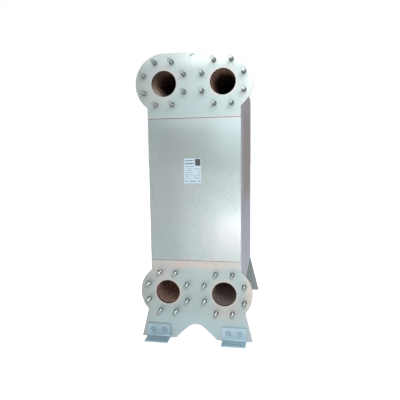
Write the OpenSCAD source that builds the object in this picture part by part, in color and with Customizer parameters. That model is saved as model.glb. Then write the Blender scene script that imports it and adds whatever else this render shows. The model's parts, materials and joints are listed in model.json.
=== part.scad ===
// Large brazed plate heat exchanger, standing on its feet.
// X runs across the unit, Y from its front face (-) to its rear (+), Z up from the floor.

/* [Channel plates] */
// Number of channel plates brazed into the pack
plate_count = 260; // [40:2:300]
// Depth that each channel plate adds to the pack
plate_pitch = 2.56; // [2:0.01:4]
// Distance from a port's centre to the plate's edge, also the radius of the plate's corners
edge_margin = 70.4; // [62:0.1:90]
// Step between the nested skirts of neighbouring plates
skirt_step = 0.9; // [0.3:0.1:1.5]
// Thickness of the plain end plate at each end of the pack
end_t = 2; // [1:0.5:4]

/* [Ports] */
// Distance between port centres across the unit
port_spacing_x = 240; // [200:1:300]
// Distance between port centres up the unit
port_spacing_z = 864.5; // [700:0.5:1100]
// Height of the lower port centres above the floor
port_height = 200.8; // [160:0.1:260]
// Diameter of the port holes in the front plates
port_d = 102; // [60:1:110]
// Step between a port hole and the crests of the plate collars behind it
collar_step = 1; // [0.5:0.5:3]
// Height of a collar's crest above its groove
collar_rib = 3; // [1:0.5:4]
// Thickness of the collar wall behind the grooves
collar_wall = 3; // [2:0.5:4]

/* [Front and rear plates] */
// Thickness of the three front plates
front_t = 12; // [6:0.5:20]
// Thickness of the three rear plates
rear_t = 12; // [6:0.5:20]
// Radius of the round ears about the ports
ear_r = 118; // [110:1:130]
// Distance from the ears to the seams of the cover plate
seam_margin = 20.7; // [5:0.1:60]
// Gap of the seams between the plates
seam_gap = 1.6; // [0.5:0.1:4]
// Diameter of the lifting holes
lift_d = 22; // [12:1:30]
// Distance from a lifting hole's centre to the edge above it
lift_edge = 18; // [14:1:40]
// Width of the rear plate's lifting tab at its top
lift_tab_w = 90; // [60:1:110]

/* [Studs] */
// Diameter of the circle that the studs of a port stand on
stud_circle_d = 180; // [150:1:200]
// Number of studs round each port
stud_count = 8; // [4:1:12]
// Diameter of a stud
stud_d = 16; // [10:1:20]
// Height of a stud over the plate's face
stud_h = 45; // [20:1:80]
// Width of the weld at a stud's foot
stud_weld = 2.2; // [1:0.1:4]

/* [Feet] */
// Width over both feet at the floor
feet_w = 476; // [400:1:560]
// Width of the arch between the feet at the floor
arch_w = 182; // [120:1:220]
// Height of the arch
arch_h = 64.4; // [40:0.1:90]
// Radius of the arch's crown
arch_crown_r = 52; // [20:1:60]
// How far the front plate is drawn in between its ears and its feet
neck_inset = 30.2; // [15:0.1:45]
// Radius of the fillet in that neck
neck_fillet_r = 12; // [4:1:24]
// Height over the pack's lower edge at which the rear plate starts to widen into its feet
rear_flare_rise = 57.6; // [20:0.1:120]

/* [Foot brackets] */
// Length of a bracket along the plate
bracket_l = 100; // [60:1:120]
// Width of each leg of a bracket
bracket_leg = 60; // [40:1:80]
// Thickness of the bracket's steel
bracket_t = 6; // [3:0.5:8]
// Inner radius of the bend
bend_r = 4; // [2:0.5:8]
// Distance of a bracket's end from the foot's outer corner
bracket_inset = 26; // [5:1:40]
// Diameter of the floor anchor hole
anchor_d = 14; // [8:1:20]
// Distance of the anchor hole from the plate's face
anchor_reach = 38; // [20:1:50]

/* [Bracket bolts] */
// Distance between the two bolts of a bracket
bolt_spacing = 50; // [30:1:70]
// Height of the bolts above the floor
bolt_height = 34; // [25:1:50]
// Diameter of a bolt
bolt_d = 10; // [6:1:12]
// Diameter of its round head
bolt_head_d = 21; // [12:1:24]
// Height of its round head
bolt_head_h = 4.5; // [3:0.5:8]
// Clearance all round a bolt in its holes
bolt_clearance = 0.5; // [0.2:0.1:1]
// Width of a nut across its flats
nut_af = 17; // [10:1:20]
// Height of a nut with its flange
nut_h = 10; // [6:1:14]

/* [Hidden] */

left = -1;
right = 1;
lower = -1;
upper = 1;
front = 0;
rear = 1;
over = 1;
sink = 0.1;

pack_d = plate_count * plate_pitch;
total_d = front_t + end_t + pack_d + end_t + rear_t;
front_y = -total_d / 2;
front_end_y = front_y + front_t;
pack_y = front_end_y + end_t;
rear_end_y = pack_y + pack_d;
rear_plate_y = rear_end_y + end_t;

port_x = port_spacing_x / 2;
mid_z = port_height + port_spacing_z / 2;
half_w = port_x + edge_margin;
half_h = port_spacing_z / 2 + edge_margin;
top_z = mid_z + port_spacing_z / 2 + ear_r;
pack_top_z = mid_z + half_h;
seam_low_z = port_height + ear_r + seam_margin;
seam_high_z = seam_low_z + port_spacing_z - 2 * (ear_r + seam_margin);
neck_half_w = port_x + ear_r - neck_inset;
rear_flare_z = port_height - edge_margin + rear_flare_rise;
bracket_x = feet_w / 2 - bracket_inset - bracket_l / 2;

skirt_w = 20;
collar_crest_r = port_d / 2 + collar_step;
collar_groove_r = collar_crest_r + collar_rib;
tunnel_r = collar_groove_r + collar_wall;
collar_pitch = 2 * plate_pitch;
collar_count = floor(plate_count / 2);

stud_r = stud_d / 2;
stud_chamfer = 1.5;
bend_outer_r = bend_r + bracket_t;
bolt_hole_d = bolt_d + 2 * bolt_clearance;
bolt_tail = 3;
nut_flange_h = 2;
nut_flange_d = 22;

steel = [0.74, 0.79, 0.78];
cover_steel = [0.70, 0.73, 0.73];
pack_steel = [0.62, 0.58, 0.62];
braze_copper = [0.36, 0.24, 0.20];
stud_steel = [0.66, 0.66, 0.64];
zinc = [0.66, 0.74, 0.79];

function port_z(level) = mid_z + level * port_spacing_z / 2;

// Stands a flat outline upright, with its front at y and its thickness behind that.
module upright(y, t) {
  translate([0, y + t, 0]) rotate([90, 0, 0]) linear_extrude(t) children();
}

module both_sides() {
  children();
  mirror([1, 0]) children();
}

module side(hand, end) {
  mirror([hand == left ? 1 : 0, 0, 0]) mirror([0, end == rear ? 1 : 0, 0]) children();
}

// A band of the unit's full width between two heights.
module band(z_low, z_high, half) {
  translate([-half, z_low]) square([2 * half, z_high - z_low]);
}

module port_circles(level, r) {
  for (x = [-port_x, port_x]) {
    translate([x, port_z(level)]) circle(r = r, $fn = 96);
  }
}

module lifting_hole() {
  translate([0, top_z - lift_edge]) circle(d = lift_d, $fn = 48);
}

// The plate's outline, with its corners round the ports.
module pack_outline() {
  band(mid_z - half_h + edge_margin, mid_z + half_h - edge_margin, half_w);
  band(mid_z - half_h, mid_z + half_h, half_w - edge_margin);
  port_circles(lower, edge_margin);
  port_circles(upper, edge_margin);
}

module ears(level) {
  port_circles(level, ear_r);
}

// The arch between the feet: a round crown, and straight sides that leave it at a tangent.
module arch() {
  crown_z = arch_h - arch_crown_r;
  foot_x = arch_w / 2;
  turn = acos(arch_crown_r / norm([foot_x, crown_z])) - atan2(crown_z, foot_x);
  side_x = arch_crown_r * cos(turn);
  side_z = crown_z + arch_crown_r * sin(turn);
  translate([0, crown_z]) circle(r = arch_crown_r, $fn = 96);
  polygon([[-foot_x, -over], [foot_x, -over], [foot_x, 0], [side_x, side_z], [-side_x, side_z], [-foot_x, 0]]);
}

module bolt_holes() {
  for (x = [bracket_x - bolt_spacing / 2, bracket_x + bolt_spacing / 2]) {
    translate([x, bolt_height]) circle(d = bolt_hole_d, $fn = 32);
  }
}

// Height at which an ear meets the sloping edge of a foot.
neck_z = port_z(lower) - sqrt(pow(ear_r, 2) - pow(neck_half_w - port_x, 2));

// Fills the notch between the ear and the foot's sloping edge with a round fillet.
module neck_fillet() {
  ear = [port_x, port_z(lower)];
  foot = [feet_w / 2, 0];
  notch = [neck_half_w, neck_z];
  uphill = (notch - foot) / norm(notch - foot);
  outward = [uphill[1], -uphill[0]];
  reach = ear_r + neck_fillet_r;
  start = foot + outward * neck_fillet_r - ear;
  climb = -start * uphill - sqrt(pow(reach, 2) - start * start + pow(start * uphill, 2));
  centre = ear + start + uphill * climb;
  difference() {
    polygon([
      notch - outward * neck_fillet_r, centre - outward * (neck_fillet_r + sink),
      centre, ear + (centre - ear) * (ear_r - sink) / reach
    ]);
    translate(centre) circle(r = neck_fillet_r, $fn = 64);
  }
}

module front_upper_plate() {
  color(steel) upright(front_y, front_t) difference() {
    union() {
      band(seam_high_z + seam_gap / 2, port_z(upper), half_w);
      band(port_z(upper), top_z, port_x);
      ears(upper);
    }
    port_circles(upper, port_d / 2);
    lifting_hole();
  }
}

module front_cover_plate() {
  color(cover_steel) upright(front_y, front_t) {
    band(seam_low_z + seam_gap / 2, seam_high_z - seam_gap / 2, half_w);
  }
}

module front_lower_plate() {
  color(steel) upright(front_y, front_t) difference() {
    union() {
      band(port_z(lower), seam_low_z - seam_gap / 2, half_w);
      ears(lower);
      polygon([
        [-feet_w / 2, 0], [feet_w / 2, 0], [neck_half_w, neck_z], [port_x, port_z(lower)],
        [-port_x, port_z(lower)], [-neck_half_w, neck_z]
      ]);
      both_sides() neck_fillet();
    }
    port_circles(lower, port_d / 2);
    arch();
    both_sides() bolt_holes();
  }
}

module front_end_plate() {
  color(pack_steel) upright(front_end_y, end_t) difference() {
    pack_outline();
    port_circles(lower, collar_crest_r);
    port_circles(upper, collar_crest_r);
  }
}

module rear_end_plate() {
  color(pack_steel) upright(rear_end_y, end_t) pack_outline();
}

module rear_upper_plate() {
  color(steel) upright(rear_plate_y, rear_t) difference() {
    union() {
      band(seam_high_z + seam_gap / 2, port_z(upper), half_w);
      band(port_z(upper), pack_top_z, port_x);
      port_circles(upper, edge_margin);
      polygon([
        [-lift_tab_w, pack_top_z - over], [lift_tab_w, pack_top_z - over],
        [lift_tab_w / 2, top_z], [-lift_tab_w / 2, top_z]
      ]);
    }
    lifting_hole();
  }
}

module rear_cover_plate() {
  color(cover_steel) upright(rear_plate_y, rear_t) {
    band(seam_low_z + seam_gap / 2, seam_high_z - seam_gap / 2, half_w);
  }
}

module rear_lower_plate() {
  color(steel) upright(rear_plate_y, rear_t) difference() {
    polygon([
      [-half_w, seam_low_z - seam_gap / 2], [-half_w, rear_flare_z], [-feet_w / 2, 0],
      [feet_w / 2, 0], [half_w, rear_flare_z], [half_w, seam_low_z - seam_gap / 2]
    ]);
    arch();
    both_sides() bolt_holes();
  }
}

// Edge of the pack, cut across the plates: each nested skirt steps out to full width.
function skirt_profile() = concat(
  [[-skirt_w, 0]],
  [for (i = [0 : plate_count - 1]) each [
    [-skirt_step, i * plate_pitch],
    [0, (i + 0.8) * plate_pitch]
  ]],
  [[-skirt_step, pack_d], [-skirt_w, pack_d]]
);

module skirt_run(length) {
  translate([0, 0, -length / 2]) linear_extrude(length) polygon(skirt_profile());
}

module skirt_corner() {
  rotate([90, 0, 0]) mirror([0, 0, 1])
    rotate_extrude(angle = 90, $fn = 96) translate([edge_margin, 0]) polygon(skirt_profile());
}

// The brazed stack of channel plates, as one block with a stepped edge all round.
module channel_plate_pack() {
  flat_w = 2 * (half_w - edge_margin);
  flat_h = 2 * (half_h - edge_margin);
  inner_w = 2 * (half_w - skirt_w);
  inner_h = 2 * (half_h - skirt_w);
  color(pack_steel) translate([0, pack_y, mid_z]) difference() {
    union() {
      translate([-inner_w / 2, 0, -flat_h / 2]) cube([inner_w, pack_d, flat_h]);
      translate([-flat_w / 2, 0, -inner_h / 2]) cube([flat_w, pack_d, inner_h]);
      for (turn = [0, 1]) {
        mirror([turn, 0, 0]) translate([half_w, 0, 0]) skirt_run(flat_h);
        mirror([0, 0, turn]) translate([0, 0, half_h]) rotate([0, -90, 0]) skirt_run(flat_w);
      }
      for (sx = [0, 1], sz = [0, 1]) {
        mirror([sx, 0, 0]) mirror([0, 0, sz])
          translate([flat_w / 2, 0, flat_h / 2]) skirt_corner();
      }
    }
    for (x = [-port_x, port_x], level = [lower, upper]) {
      translate([x, -over, level * port_spacing_z / 2]) rotate([-90, 0, 0])
        cylinder(r = tunnel_r, h = pack_d + 2 * over, $fn = 96);
    }
  }
}

// The pressed collars of the plates, which line a port's tunnel with ribs.
function collar_profile() = concat(
  [[tunnel_r, 0]],
  [for (i = [0 : collar_count - 1]) each [
    [collar_crest_r, i * collar_pitch],
    [collar_crest_r, (i + 0.4) * collar_pitch],
    [collar_groove_r, (i + 0.55) * collar_pitch],
    [collar_groove_r, (i + 0.85) * collar_pitch]
  ]],
  [[collar_crest_r, pack_d], [tunnel_r, pack_d]]
);

module port_collars(hand, level) {
  color(braze_copper) translate([hand * port_x, pack_y, port_z(level)])
    rotate([-90, 0, 0]) rotate_extrude($fn = 96) polygon(collar_profile());
}

module stud() {
  rotate([90, 0, 0]) rotate_extrude($fn = 48) polygon([
    [0, 0], [stud_r + stud_weld, 0], [stud_r, stud_weld],
    [stud_r, stud_h - stud_chamfer], [stud_r - stud_chamfer, stud_h], [0, stud_h]
  ]);
}

// The studs of one port, half a step off the port's own axes.
module port_studs(hand, level) {
  color(stud_steel) translate([hand * port_x, front_y, port_z(level)]) {
    for (i = [0 : stud_count - 1]) {
      angle = (i + 0.5) * 360 / stud_count;
      translate([cos(angle), 0, sin(angle)] * stud_circle_d / 2) stud();
    }
  }
}

// An angle's section: x out from the plate's face, y up from the floor.
module bracket_profile() {
  translate([0, bend_outer_r]) square([bracket_t, bracket_leg - bend_outer_r]);
  translate([bend_outer_r, 0]) square([bracket_leg - bend_outer_r, bracket_t]);
  intersection() {
    square(bend_outer_r);
    translate([bend_outer_r, bend_outer_r]) difference() {
      circle(r = bend_outer_r, $fn = 64);
      circle(r = bend_r, $fn = 64);
    }
  }
}

module foot_bracket(hand, end) {
  color(zinc) side(hand, end) difference() {
    translate([bracket_x, front_y, 0]) rotate([90, 0, -90])
      linear_extrude(bracket_l, center = true) bracket_profile();
    translate([0, front_y + over, 0]) rotate([90, 0, 0])
      linear_extrude(bracket_t + 2 * over) bolt_holes();
    translate([bracket_x, front_y - anchor_reach, -over])
      cylinder(d = anchor_d, h = bracket_t + 2 * over, $fn = 48);
  }
}

// A round-head bolt with its head's underside at the origin and its shank behind.
module bolt() {
  shank_l = bracket_t + front_t + nut_h + bolt_tail;
  dome_r = (pow(bolt_head_d / 2, 2) + pow(bolt_head_h, 2)) / (2 * bolt_head_h);
  rotate([90, 0, 0]) rotate_extrude($fn = 48) {
    translate([0, -shank_l]) square([bolt_d / 2, shank_l + over]);
    intersection() {
      translate([0, bolt_head_h - dome_r]) circle(r = dome_r, $fn = 96);
      square([bolt_head_d / 2, bolt_head_h]);
    }
  }
}

module bracket_bolts(hand, end) {
  color(zinc) side(hand, end) {
    for (x = [bracket_x - bolt_spacing / 2, bracket_x + bolt_spacing / 2]) {
      translate([x, front_y - bracket_t, bolt_height]) bolt();
    }
  }
}

module flange_nut() {
  rotate([-90, 0, 0]) difference() {
    union() {
      cylinder(d = nut_flange_d, h = nut_flange_h, $fn = 48);
      cylinder(d = nut_af / cos(30), h = nut_h, $fn = 6);
    }
    translate([0, 0, -over]) cylinder(d = bolt_d, h = nut_h + 2 * over, $fn = 48);
  }
}

module bracket_nuts(hand, end) {
  color(zinc) side(hand, end) {
    for (x = [bracket_x - bolt_spacing / 2, bracket_x + bolt_spacing / 2]) {
      translate([x, front_y + front_t, bolt_height]) flange_nut();
    }
  }
}

front_upper_plate();
front_cover_plate();
front_lower_plate();
front_end_plate();
channel_plate_pack();
rear_end_plate();
rear_upper_plate();
rear_cover_plate();
rear_lower_plate();
port_collars(left, upper);  // collars_upper_left
port_collars(right, upper);  // collars_upper_right
port_collars(left, lower);  // collars_lower_left
port_collars(right, lower);  // collars_lower_right
port_studs(left, upper);  // studs_upper_left
port_studs(right, upper);  // studs_upper_right
port_studs(left, lower);  // studs_lower_left
port_studs(right, lower);  // studs_lower_right
foot_bracket(left, front);  // bracket_front_left
foot_bracket(right, front);  // bracket_front_right
foot_bracket(left, rear);  // bracket_rear_left
foot_bracket(right, rear);  // bracket_rear_right
bracket_bolts(left, front);  // bolts_front_left
bracket_bolts(right, front);  // bolts_front_right
bracket_bolts(left, rear);  // bolts_rear_left
bracket_bolts(right, rear);  // bolts_rear_right
bracket_nuts(left, front);  // nuts_front_left
bracket_nuts(right, front);  // nuts_front_right
bracket_nuts(left, rear);  // nuts_rear_left
bracket_nuts(right, rear);  // nuts_rear_right
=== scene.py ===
import json
import math
import random

import bmesh
import bpy
from mathutils import Matrix, Vector, noise


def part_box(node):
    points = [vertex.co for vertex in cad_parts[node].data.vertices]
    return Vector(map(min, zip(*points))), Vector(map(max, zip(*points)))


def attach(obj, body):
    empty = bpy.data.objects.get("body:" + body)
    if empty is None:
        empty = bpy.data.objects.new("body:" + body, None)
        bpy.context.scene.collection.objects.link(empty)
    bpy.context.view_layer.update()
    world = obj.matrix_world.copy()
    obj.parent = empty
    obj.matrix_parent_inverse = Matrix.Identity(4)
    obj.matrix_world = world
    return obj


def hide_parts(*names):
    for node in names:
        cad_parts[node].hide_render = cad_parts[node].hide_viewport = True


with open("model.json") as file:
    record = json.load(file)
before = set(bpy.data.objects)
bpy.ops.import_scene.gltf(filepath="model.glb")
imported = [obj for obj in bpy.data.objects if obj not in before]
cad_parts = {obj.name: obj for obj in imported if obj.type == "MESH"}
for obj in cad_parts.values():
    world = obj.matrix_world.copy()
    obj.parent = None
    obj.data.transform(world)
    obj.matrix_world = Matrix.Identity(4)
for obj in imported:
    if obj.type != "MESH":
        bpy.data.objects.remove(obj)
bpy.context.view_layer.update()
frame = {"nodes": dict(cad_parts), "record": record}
nodes = frame["nodes"]
mounts = {m["name"]: m for m in frame["record"]["mounts"]}
random.seed(7)

# Places that the whole unit is laid out from
portNames = ["upper_left", "upper_right", "lower_left", "lower_right"]
portPlace = {name: Vector(mounts["port_" + name]["pos_m"]) for name in portNames}
portRadius = mounts["port_upper_left"]["dims"]["r_mm"] / 1000
portX = abs(portPlace["upper_left"].x)
portMidZ = (portPlace["upper_left"].z + portPlace["lower_left"].z) / 2
portHalfZ = portPlace["upper_left"].z - portMidZ
coverLow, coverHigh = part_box("front_cover_plate")
faceY, seamLowZ, seamHighZ = coverLow.y, coverLow.z, coverHigh.z
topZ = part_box("front_upper_plate")[1].z
packLow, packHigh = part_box("channel_plate_pack")
plateCount = 260
platePitch = (packHigh.y - packLow.y) / plateCount


def addNode(tree, kind, **values):
    node = tree.nodes.new(kind)
    for key, value in values.items():
        setattr(node, key, value)
    return node


def wire(tree, value, socket):
    if isinstance(value, bpy.types.NodeSocket):
        tree.links.new(value, socket)
    else:
        socket.default_value = value


def calc(tree, operation, a, b=0.0, c=0.0, clamp=False):
    node = addNode(tree, "ShaderNodeMath", operation=operation, use_clamp=clamp)
    for value, socket in zip((a, b, c), node.inputs):
        wire(tree, value, socket)
    return node.outputs[0]


def product(tree, first, *others):
    for other in others:
        first = calc(tree, "MULTIPLY", first, other)
    return first


def gapTo(tree, value, centre):
    # how far a value is from a centre, to either side
    return calc(tree, "ABSOLUTE", calc(tree, "SUBTRACT", value, centre))


def axisGap(tree, across, along):
    # how far a point is from an axis, from its two offsets square to it
    total = calc(tree, "ADD", product(tree, across, across), product(tree, along, along))
    return calc(tree, "SQRT", total)


def fade(tree, value, low, high, toLow=0.0, toHigh=1.0):
    # eases from toLow to toHigh while the value goes from low to high
    node = addNode(tree, "ShaderNodeMapRange", interpolation_type="SMOOTHSTEP")
    wire(tree, value, node.inputs["Value"])
    for name, number in (("From Min", low), ("From Max", high), ("To Min", toLow), ("To Max", toHigh)):
        wire(tree, number, node.inputs[name])
    return node.outputs["Result"]


def spread(tree, value, low, high):
    # goes evenly from low to high while the value goes from 0 to 1
    return calc(tree, "MULTIPLY_ADD", value, high - low, low)


def mixColour(tree, factor, first, second, blend="MIX"):
    node = addNode(tree, "ShaderNodeMix", data_type="RGBA", blend_type=blend)
    wire(tree, factor, node.inputs[0])
    wire(tree, first, node.inputs[6])
    wire(tree, second, node.inputs[7])
    return node.outputs[2]


def layTints(tree, colour, look, layers):
    # each named tint of the look goes over the last, where its mask is
    for tint, mask in layers:
        colour = mixColour(tree, mask, colour, look[tint])
    return colour


def scaleColour(tree, colour, value):
    grey = addNode(tree, "ShaderNodeCombineColor")
    for socket in grey.inputs:
        wire(tree, value, socket)
    return mixColour(tree, 1.0, colour, grey.outputs[0], "MULTIPLY")


def noiseField(tree, vector, scale, detail=2.0, rough=0.5):
    node = addNode(tree, "ShaderNodeTexNoise")
    for name, value in (("Vector", vector), ("Scale", scale), ("Detail", detail), ("Roughness", rough)):
        wire(tree, value, node.inputs[name])
    return node.outputs["Fac"]


def stretched(tree, vector, scale):
    node = addNode(tree, "ShaderNodeMapping")
    wire(tree, vector, node.inputs["Vector"])
    node.inputs["Scale"].default_value = scale
    return node.outputs["Vector"]


def axes(tree, vector):
    node = addNode(tree, "ShaderNodeSeparateXYZ")
    wire(tree, vector, node.inputs[0])
    return node.outputs


def newGroup(name, inputs, outputs):
    group = bpy.data.node_groups.new(name, "ShaderNodeTree")
    for label, kind, value in inputs:
        socket = group.interface.new_socket(label, in_out="INPUT", socket_type=kind)
        if value is not None:
            socket.default_value = value
    for label in outputs:
        group.interface.new_socket(label, in_out="OUTPUT", socket_type="NodeSocketFloat")
    return group, addNode(group, "NodeGroupInput").outputs, addNode(group, "NodeGroupOutput").inputs


def placeGroup(tree, group, **values):
    node = addNode(tree, "ShaderNodeGroup", node_tree=group)
    for label, value in values.items():
        wire(tree, value, node.inputs[label])
    return node.outputs


def newMaterial(name):
    material = bpy.data.materials.new(name)
    material.use_nodes = True
    tree = material.node_tree
    place = addNode(tree, "ShaderNodeTexCoord").outputs["Object"]
    return material, tree, place, tree.nodes["Principled BSDF"].inputs


def finishShader(tree, shader, colour, roughness, metallic):
    wire(tree, colour, shader["Base Color"])
    wire(tree, roughness, shader["Roughness"])
    wire(tree, metallic, shader["Metallic"])


def addBump(tree, height, strength, distance, shader):
    node = addNode(tree, "ShaderNodeBump")
    node.inputs["Strength"].default_value = strength
    node.inputs["Distance"].default_value = distance
    wire(tree, height, node.inputs["Height"])
    tree.links.new(node.outputs["Normal"], shader["Normal"])


grainLook = {
    "cloudDetail": 3.0,
    "cloudContrast": (0.34, 0.66),
    "lineStretch": (6.0, 6.0, 0.35),
    "lineDetail": 4.0,
    "blotchStretch": (1.0, 1.0, 0.55),
    "blotchScale": 15.0,
    "blotchContrast": (0.42, 0.72),
}


def makeRolledGrain():
    # soft clouds over a sheet, with the fine lines that the rolls leave
    look = grainLook
    group, given, out = newGroup(
        "rolledGrain",
        [("Vector", "NodeSocketVector", None), ("CloudScale", "NodeSocketFloat", 6.0),
         ("LineScale", "NodeSocketFloat", 60.0)],
        ["Cloud", "Lines", "Blotch"])
    vector = given["Vector"]
    cloud = noiseField(group, vector, given["CloudScale"], look["cloudDetail"])
    wire(group, fade(group, cloud, *look["cloudContrast"]), out["Cloud"])
    alongLines = stretched(group, vector, look["lineStretch"])
    wire(group, noiseField(group, alongLines, given["LineScale"], look["lineDetail"]), out["Lines"])
    blotch = noiseField(group, stretched(group, vector, look["blotchStretch"]), look["blotchScale"])
    wire(group, fade(group, blotch, *look["blotchContrast"]), out["Blotch"])
    return group


def makePortDistance():
    # how far a point is from the nearest port's axis, in metres
    group, given, out = newGroup("portDistance", [("Vector", "NodeSocketVector", None)], ["Distance"])
    x, _, z = axes(group, given["Vector"])
    across = calc(group, "SUBTRACT", calc(group, "ABSOLUTE", x), portX)
    height = calc(group, "SUBTRACT", gapTo(group, z, portMidZ), portHalfZ)
    wire(group, axisGap(group, across, height), out["Distance"])
    return group


blushLook = {
    "waviness": 0.012,
    "lowZ": seamLowZ - 0.014,
    "lowReach": (0.006, 0.032, 0.84, 0.0),
    "lowSides": (0.05, 0.19, 1.0, 0.60),
    "highReach": (0.002, 0.014, 0.32, 0.0),
    "uneven": (0.7, 1.1),
}


def makeSeamBlush():
    # copper vapour tints a broad strip under the low seam and a narrow one along the high seam
    look = blushLook
    group, given, out = newGroup(
        "seamBlush", [("Vector", "NodeSocketVector", None), ("Blotch", "NodeSocketFloat", 0.5)], ["Mask"])
    x, _, z = axes(group, given["Vector"])
    wavy = calc(group, "MULTIPLY_ADD", given["Blotch"], look["waviness"], z)
    low = fade(group, gapTo(group, wavy, look["lowZ"]), *look["lowReach"])
    low = product(group, low, fade(group, calc(group, "ABSOLUTE", x), *look["lowSides"]))
    high = fade(group, gapTo(group, z, seamHighZ), *look["highReach"])
    both = calc(group, "MAXIMUM", low, high)
    uneven = spread(group, given["Blotch"], *look["uneven"])
    wire(group, calc(group, "MULTIPLY", both, uneven, clamp=True), out["Mask"])
    return group


def placeGrain(tree, place, look):
    return placeGroup(tree, rolledGrain, Vector=place, CloudScale=look["cloudScale"],
                      LineScale=look["lineScale"])


rolledGrain = makeRolledGrain()
portDistance = makePortDistance()
seamBlush = makeSeamBlush()
print("shared patterns ready")


meshSizes = {"merge": 1e-6, "cut": 1e-7, "flatJoin": math.radians(0.4), "crease": 35, "flat": 0.999}


def vertsOf(geometry):
    return [item for item in geometry if isinstance(item, bmesh.types.BMVert)]


def turnMesh(bm, angle, axis):
    bmesh.ops.rotate(bm, verts=bm.verts, cent=(0, 0, 0), matrix=Matrix.Rotation(angle, 3, axis))


def pushOut(bm, offset):
    # gives flat faces a thickness
    made = bmesh.ops.extrude_face_region(bm, geom=bm.faces[:])["geom"]
    bmesh.ops.translate(bm, verts=vertsOf(made), vec=offset)


def spinOutline(bm, outline, steps, turns=1, rise=0.0):
    # turns a line of radius and height points about Z, and lifts it by rise at each step
    points = [bm.verts.new((radius, 0, height)) for radius, height in outline]
    edges = [bm.edges.new(pair) for pair in zip(points, points[1:])]
    bmesh.ops.spin(bm, geom=points + edges, cent=(0, 0, 0), axis=(0, 0, 1), dvec=(0, 0, rise),
                   angle=math.tau * turns, steps=steps * turns, use_merge=rise == 0.0)
    bmesh.ops.remove_doubles(bm, verts=bm.verts, dist=meshSizes["merge"])


def joinTo(whole, part):
    bits = bpy.data.meshes.new("bits")
    part.to_mesh(bits)
    part.free()
    whole.from_mesh(bits)
    bpy.data.meshes.remove(bits)


def markCreases(bm, degrees):
    limit = math.radians(degrees)
    for face in bm.faces:
        face.smooth = True
    for edge in bm.edges:
        edge.smooth = len(edge.link_faces) == 2 and edge.calc_face_angle(math.pi) < limit


def finishPiece(bm, name, materials, stands=()):
    mesh = bpy.data.meshes.new(name)
    bm.to_mesh(mesh)
    bm.free()
    for material in materials:
        mesh.materials.append(material)
    piece = bpy.data.objects.new(name, mesh)
    bpy.context.scene.collection.objects.link(piece)
    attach(piece, "root")
    if stands:
        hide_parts(*stands)


def coatNode(node, material):
    # a CAD piece that stays as drawn gets its material
    nodes[node].data.materials.clear()
    nodes[node].data.materials.append(material)


def makeSheet(node, name, sizes, material):
    # the sheet as drawn, with the sharp rim of every cut broken
    bm = bmesh.new()
    bm.from_mesh(nodes[node].data)
    bmesh.ops.remove_doubles(bm, verts=bm.verts, dist=meshSizes["merge"])
    bmesh.ops.dissolve_limit(bm, angle_limit=meshSizes["flatJoin"], verts=bm.verts, edges=bm.edges)
    rim = [e for e in bm.edges if e.calc_face_angle(0.0) > math.radians(sizes["rimAngle"])]
    bmesh.ops.bevel(bm, geom=rim, offset=sizes["rimBevel"], offset_type="OFFSET",
                    segments=sizes["rimSteps"], profile=0.5, affect="EDGES", material=-1,
                    clamp_overlap=True)
    markCreases(bm, meshSizes["crease"])
    for face in bm.faces:
        if max(abs(face.normal[axis]) for axis in sizes["flatAxes"]) > meshSizes["flat"]:
            face.smooth = False
    finishPiece(bm, name, [material], [node])


# In every look, a fade says where it starts and ends, then its strength at both; a noise
# gives its scale, detail and roughness; a bump gives its strength and depth
plateLook = {
    "cool": (0.272, 0.331, 0.334, 1),
    "pale": (0.300, 0.354, 0.354, 1),
    "warm": (0.312, 0.338, 0.328, 1),
    "foot": (0.314, 0.396, 0.412, 1),
    "bright": (0.480, 0.530, 0.525, 1),
    "shade": (0.240, 0.308, 0.314, 1),
    # painted shade on the rear plates
    "rear": (0.205, 0.240, 0.242, 1),
    "copperTint": (0.421, 0.348, 0.320, 1),
    "earTint": (0.420, 0.386, 0.360, 1),
    "leftEdgeShade": (0.262, 0.282, 0.274, 1),
    "holeWall": (0.040, 0.024, 0.019, 1),
    "cloudScale": 5.0,
    "lineScale": 45.0,
    "mottleNoise": (42.0, 4.0, 0.6),
    "mottle": (0.42, 0.70, 0.0, 0.45),
    "footZ": (0.05, 0.15, 0.80, 0.0),
    # painted highlight along the top edge, brighter to the right, and on the upper right ear
    "topEdgeZ": (topZ - 0.076, topZ - 0.022),
    "topEdgeX": (-0.10, 0.02, 0.28, 0.80),
    "upperEarX": (0.195, 0.235, 0.0, 0.42),
    "shadeZ": (topZ - 0.135, topZ - 0.190, 0.0, 0.42),
    "shadeX": (0.05, 0.14, 1.0, 0.2),
    "rearY": (-0.1, 0.1, 0.0, 0.8),
    "earX": (0.185, 0.235),
    "earZ": (0.3, 0.9, 0.95, 0.30),
    "earFootZ": (0.05, 0.14, 0.2, 1.0),
    "leftEdgeShadeX": (-0.235, -0.165, 0.75, 0.0),
    "wander": (-0.008, 0.008),  # how far the edge of a ring or patch strays
    "wanderScale": 22.0,
    "ringReach": (portRadius + 0.003, portRadius + 0.016, 1.0, 0.0),
    "ringZ": (portMidZ - 0.3, portMidZ + 0.3, 0.40, 0.22),
    "ringBlotch": 0.35,
    # wider coppery patches: port, how far to its side and above it, reach, strength
    "patches": [
        ("lower_right", 0.010, -0.065, 0.075, 0.42), ("lower_left", -0.030, 0.085, 0.070, 0.35),
        ("upper_left", -0.035, -0.040, 0.085, 0.22),
    ],
    "patchCore": 0.3,  # the share of its reach where a patch is full
    "holeReach": portRadius + 0.0003,
    "holeDull": 0.7,
    "roughness": (0.45, 0.50),
    "lineRoughness": 0.05,
    "bump": (0.04, 0.0004),
}


def addPlatePatch(tree, x, z, wander, patch):
    name, aside, above, reach, strength = patch
    across = calc(tree, "SUBTRACT", x, portPlace[name].x + aside)
    height = calc(tree, "SUBTRACT", z, portPlace[name].z + above)
    distance = calc(tree, "ADD", axisGap(tree, across, height), wander)
    return fade(tree, distance, reach * plateLook["patchCore"], reach, strength, 0.0)


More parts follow.
